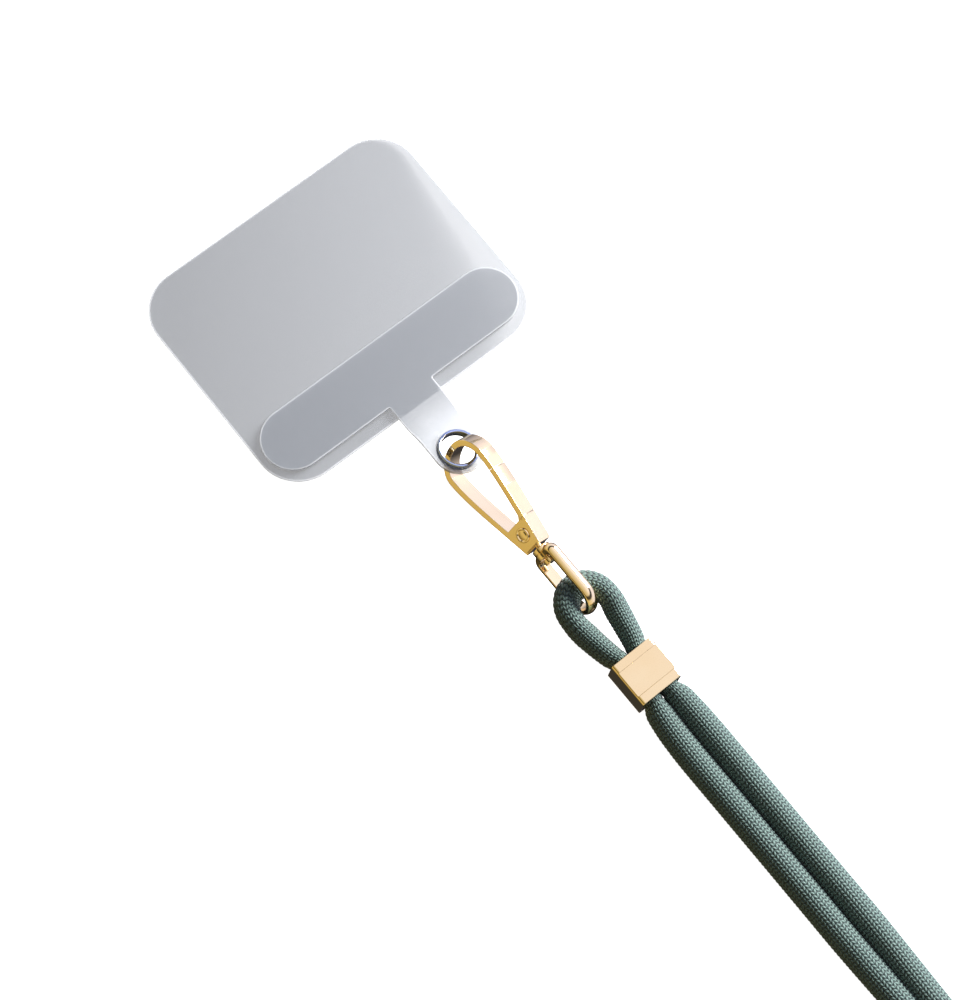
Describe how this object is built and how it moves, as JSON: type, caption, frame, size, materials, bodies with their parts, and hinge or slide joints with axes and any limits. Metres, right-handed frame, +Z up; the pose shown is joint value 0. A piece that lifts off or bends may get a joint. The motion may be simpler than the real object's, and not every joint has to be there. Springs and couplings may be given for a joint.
{
  "type": "phone crossbody strap",
  "caption": "Rope strap worn across the body, doubled through a swivel ring and a flat sleeve, with a snap hook, an eyelet tab and a clear patch that sits inside a phone case.",
  "frame": {"origin": "on the table, under the middle of the strap's box as it lies flat", "axes": "+X along the strap from the phone patch to the far end of the worn loop, +Z up from the table, the sleeve's plate facing up"},
  "size_m": [0.6172, 0.2408, 0.0096],
  "materials": {
    "clear_film": "clear smooth plastic film with light edges",
    "tab_plastic": "frosted clear plastic",
    "eyelet_steel": "polished steel",
    "gold_metal": "polished pale gold plating",
    "rope_yarn": "knitted dark green polyester cord"
  },
  "bodies": {
    "strap": {"rope": "rope_yarn", "sleeve": "gold_metal", "swivel_ring": "gold_metal"},
    "hook": {"hook_body": "gold_metal", "gate_rivet": "gold_metal", "eyelet": "eyelet_steel", "tab_strip": "tab_plastic", "patch_sheet": "clear_film"},
    "gate": {"hook_gate": "gold_metal"}
  },
  "joints": [
    {"name": "hook_swivel", "type": "hinge", "parent": "strap", "child": "hook", "pos_m": [-0.23401, 0, 0.0048], "axis": [1, 0, 0], "continuous": true},
    {"name": "gate_hinge", "type": "hinge", "parent": "hook", "child": "gate", "pos_m": [-0.23706, 0.00014, 0.00499], "axis": [0, -0.7986, 0.6018], "range_deg": [0, 20], "stiffness_Nm_per_rad": 0.0005, "springref_deg": -8.59}
  ]
}
